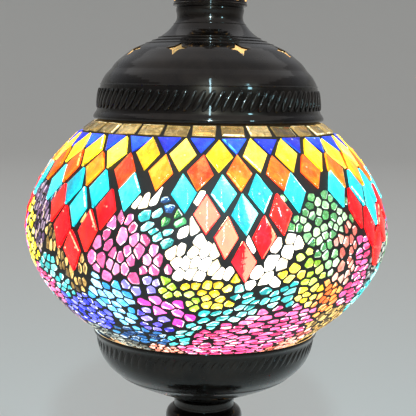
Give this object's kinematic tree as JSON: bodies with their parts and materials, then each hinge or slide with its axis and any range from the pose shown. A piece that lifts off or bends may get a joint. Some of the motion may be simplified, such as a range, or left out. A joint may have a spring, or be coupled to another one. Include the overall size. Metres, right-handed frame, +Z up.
{
  "type": "mosaic glass table lamp",
  "caption": "Lit table lamp: a blown glass globe covered in coloured cut-glass diamonds and crushed glass, held between a spun bronze cup on a turned stem and a pierced bronze cap.",
  "frame": {"origin": "centre of the base on the table", "axes": "+Z up along the lamp's axis, -Y towards the viewer of the front, +Y the side the cord leaves from"},
  "size_m": [0.2537, 0.2534, 0.5418],
  "materials": {
    "antique_bronze": "glossy, dark antique bronze",
    "felt": "matt felt",
    "plated_steel": "zinc plated",
    "cast_iron": "rough, painted black",
    "black_plastic": "moulded",
    "white_plastic": "moulded",
    "porcelain": "glazed porcelain",
    "lead_insulation": "soft PVC",
    "rubber": "soft",
    "brass": "turned",
    "solder": "dull",
    "nickel_shell": "nickel plated, rolled",
    "clear_glass": "clear, blown",
    "bulb_glass": "clear, blown",
    "bulb_stem_glass": "pressed",
    "filament": "phosphor coated LED filament",
    "black_grout": "fine sanded grout",
    "amber_glass": "cut stained glass",
    "blue_glass": "cut stained glass",
    "yellow_glass": "cut stained glass",
    "orange_glass": "cut stained glass",
    "turquoise_glass": "cut stained glass",
    "red_glass": "cut stained glass",
    "crushed_glass": "crushed stained glass in many colours, set in black grout"
  },
  "bodies": {
    "stand": {"base_felt": "felt", "base_plate": "plated_steel", "plate_screws": "plated_steel", "base_weight": "cast_iron", "base_shell": "antique_bronze", "cord_bushing": "black_plastic", "terminal_block": "white_plastic", "terminal_screws": "brass", "inner_leads": "lead_insulation", "threaded_tube": "plated_steel", "base_washer": "plated_steel", "base_nut": "plated_steel", "foot_bead": "antique_bronze", "lower_collar": "antique_bronze", "baluster": "antique_bronze", "upper_collar": "antique_bronze", "top_bead": "antique_bronze", "cup_shell": "antique_bronze", "cup_gasket": "rubber", "cup_washer": "plated_steel", "cup_nut": "plated_steel", "holder_cap": "black_plastic", "holder_insert": "porcelain", "holder_screws": "brass", "holder_contact": "brass", "holder_thread": "brass", "holder_skirt": "black_plastic", "holder_ring": "black_plastic"},
    "globe": {"globe_glass": "clear_glass", "tile_grout": "black_grout", "amber_tiles": "amber_glass", "blue_tiles": "blue_glass", "yellow_tiles": "yellow_glass", "orange_tiles": "orange_glass", "turquoise_tiles": "turquoise_glass", "red_tiles": "red_glass", "crushed_glass": "crushed_glass"},
    "cap": {"cap_gasket": "rubber", "cap_shell": "antique_bronze", "cap_spider": "plated_steel", "tie_rod": "plated_steel", "rod_washer": "plated_steel", "rod_nut": "plated_steel", "gallery": "antique_bronze", "crown_dome": "antique_bronze", "crown_collar": "antique_bronze"},
    "finial_insert": {"finial_bush": "brass"},
    "finial_knob": {"finial": "antique_bronze"},
    "bulb_foot": {"bulb_contact": "solder"},
    "bulb": {"bulb_cap": "nickel_shell", "bulb_glass": "bulb_glass", "bulb_stem": "bulb_stem_glass", "bulb_filaments": "filament"}
  },
  "joints": [
    {"name": "globe_lift", "type": "slide", "parent": "stand", "child": "globe", "axis": [0, 0, 1], "range_m": [0, 0.14]},
    {"name": "cap_lift", "type": "slide", "parent": "globe", "child": "cap", "axis": [0, 0, 1], "range_m": [0, 0.1]},
    {"name": "finial_rise", "type": "slide", "parent": "cap", "child": "finial_insert", "axis": [0, 0, 1], "range_m": [0, 0.01251]},
    {"name": "finial_turn", "type": "hinge", "parent": "finial_insert", "child": "finial_knob", "pos_m": [0, 0, 0.51], "axis": [0, 0, 1], "range_deg": [0, 3600]},
    {"name": "bulb_rise", "type": "slide", "parent": "stand", "child": "bulb_foot", "axis": [0, 0, 1], "range_m": [0, 0.0109]},
    {"name": "bulb_turn", "type": "hinge", "parent": "bulb_foot", "child": "bulb", "pos_m": [0, 0, 0.25], "axis": [0, 0, 1], "range_deg": [0, 1080]}
  ],
  "couplings": [
    {"joint": "finial_rise", "follows": "finial_turn", "m_per_rad": 0.00019894},
    {"joint": "bulb_rise", "follows": "bulb_turn", "m_per_rad": 0.00057757}
  ]
}
